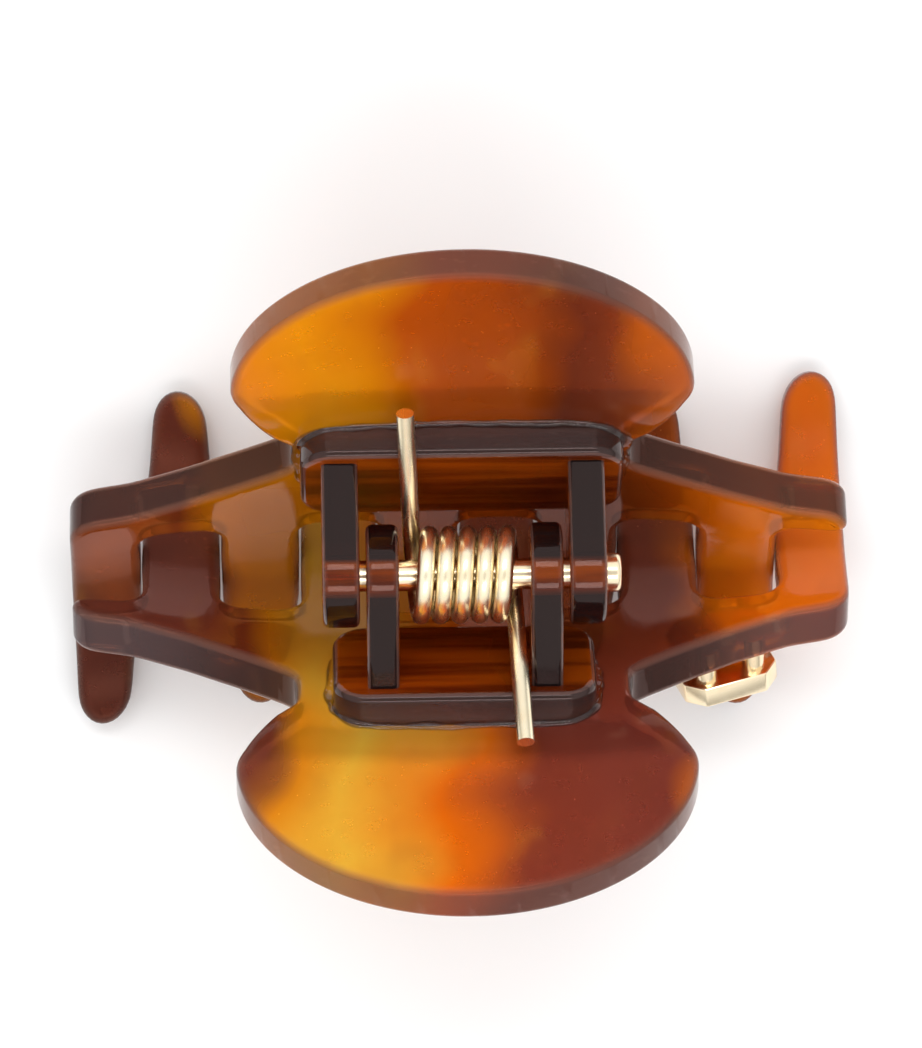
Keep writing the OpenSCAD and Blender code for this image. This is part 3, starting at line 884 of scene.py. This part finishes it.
def makeBadgeFrame():
    thick = badge["thick"]
    clearSelection()
    bpy.ops.mesh.primitive_cube_add(size=1, location=(0, 0, badge["gap"] + thick / 2))
    plate = bpy.context.object
    plate.name = "badgeFrame"
    plate.scale = (badge["wide"], badge["high"], thick)
    bpy.ops.object.transform_apply(location=True, rotation=True, scale=True)
    startEdit(plate)
    pickEdges(plate, lambda a, b: abs(a.z - b.z) > 1)
    bevelPicked(badge["chamfer"], 1)
    pickEdges(plate, lambda a, b: abs(a.z - b.z) > 1)
    bevelPicked(badge["corner"], 2)
    pickEdges(plate, lambda a, b: abs(a.z - b.z) < 0.01)
    bevelPicked(badge["edge"], 3)
    endEdit()
    clearSelection()
    bpy.ops.mesh.primitive_cylinder_add(vertices=64, radius=badge["recessRadius"], depth=2,
                                        location=(0, 0, badge["gap"] + thick - badge["recess"] + 1))
    combine(plate, bpy.context.object, "DIFFERENCE")
    place = badgePlace()
    moveVertices(plate, lambda p: place @ p * mm)
    smooth(plate, 25)
    return plate


def makeBadgePosts():
    clearSelection()
    posts, low = [], badge["gap"] - badge["postLong"]
    for x in (-badge["postX"], badge["postX"]):
        bpy.ops.mesh.primitive_cylinder_add(vertices=40, radius=badge["postRadius"], depth=badge["postLong"],
                                            location=(x, badge["postY"], low + badge["postLong"] / 2))
        post = bpy.context.object
        bpy.ops.object.transform_apply(location=True, rotation=True, scale=True)
        startEdit(post)
        pickFaces(post, lambda c, n: n.z > 0.9)
        bpy.ops.mesh.inset(thickness=badge["postInset"])
        pickEdges(post, lambda a, b: max(a.z, b.z) < low + 0.1)
        bevelPicked(badge["postEdge"], 3)
        endEdit()
        posts.append(post)
    clearSelection()
    for post in posts:
        post.select_set(True)
    bpy.context.view_layer.objects.active = posts[0]
    bpy.ops.object.join()
    piece = posts[0]
    piece.name = "badgePosts"
    place = badgePlace()
    moveVertices(piece, lambda p: place @ p * mm)
    smooth(piece, 40)
    return piece


def makeCabochon():
    clearSelection()
    floorAt = badge["gap"] + badge["thick"] - badge["recess"]
    bpy.ops.mesh.primitive_cylinder_add(vertices=64, radius=badge["domeRadius"], depth=badge["domeFoot"],
                                        location=(0, 0, floorAt + badge["domeFoot"] / 2))
    dome = bpy.context.object
    dome.name = "badgeCabochon"
    bpy.ops.object.transform_apply(location=True, rotation=True, scale=True)
    centre = (0, 0, badge["gap"] + badge["thick"])
    startEdit(dome)
    pickFaces(dome, lambda c, n: n.z > 0.9)
    radius, height = badge["domeRadius"], 0.0
    for turn in range(9, 82, 9):
        newRadius = badge["domeRadius"] * math.cos(math.radians(turn))
        newHeight = badge["domeHigh"] * math.sin(math.radians(turn))
        bpy.ops.mesh.extrude_region_move(TRANSFORM_OT_translate={"value": (0, 0, newHeight - height)})
        bpy.ops.transform.resize(value=(newRadius / radius, newRadius / radius, 1), center_override=centre)
        radius, height = newRadius, newHeight
    endEdit()
    place = badgePlace()
    moveVertices(dome, lambda p: place @ p * mm)
    smooth(dome, 50)
    return dome


# --- the whole clip

placeCamera()
lightStudio()
clearSelection()
bpy.ops.mesh.primitive_plane_add(size=studio["floorSize"])
floor = bpy.context.object
floor.name = "floor"
floor.data.materials.append(floorFinish())
print("stage: camera, light and floor")

rearJaw = makeJaw("rearJaw", 1.4, False)  # its outermost tooth is 1.4 mm shorter
frontJaw = makeJaw("frontJaw", 0, True)
rearTortoise = tortoiseFinish("rearTortoise", rearStops, 0.37, -1)
frontTortoise = tortoiseFinish("frontTortoise", frontStops, 1.9, 1)
finishPiece(rearJaw, rearTortoise, "tortoise_acetate", "rear_half", "rear_jaw")
finishPiece(frontJaw, frontTortoise, "tortoise_acetate", "front_half", "front_jaw")
print("stage: jaws")

darkAcetate = smokeFinish()
rearBracket = makeBracket("rearHingeBracket", rearHinge, False)
frontBracket = makeBracket("frontHingeBracket", frontHinge, True)
finishPiece(rearBracket, darkAcetate, "bracket_acetate", "rear_half", "rear_hinge_bracket")
finishPiece(frontBracket, darkAcetate, "bracket_acetate", "front_half", "front_hinge_bracket")
clearGlue = glueFinish()
rearGlue = makeGlue("rearGlue", rearHinge["width"], False)
frontGlue = makeGlue("frontGlue", frontHinge["width"], True)
finishPiece(rearGlue, clearGlue, "bracket_acetate", "rear_half")
finishPiece(frontGlue, clearGlue, "bracket_acetate", "front_half")
print("stage: brackets")

goldPlate = metalFinish("goldPlate", gold)
springSteel = metalFinish("springSteel", steel)
finishPiece(makePin(), goldPlate, "gold_tone_metal", "rear_half", "hinge_pin")
torsionSpring = makeSpring()
finishPiece(torsionSpring, springSteel, "spring_wire", None, "torsion_spring")
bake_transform(torsionSpring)
print("stage: pin and spring")

finishPiece(makeBadgeFrame(), goldPlate, "gold_tone_metal", "front_half", "badge_frame")
finishPiece(makeBadgePosts(), goldPlate, "gold_tone_metal", "front_half", "badge_posts")
finishPiece(makeCabochon(), resinFinish(), "brown_resin", "front_half", "badge_cabochon")
print("stage: badge")
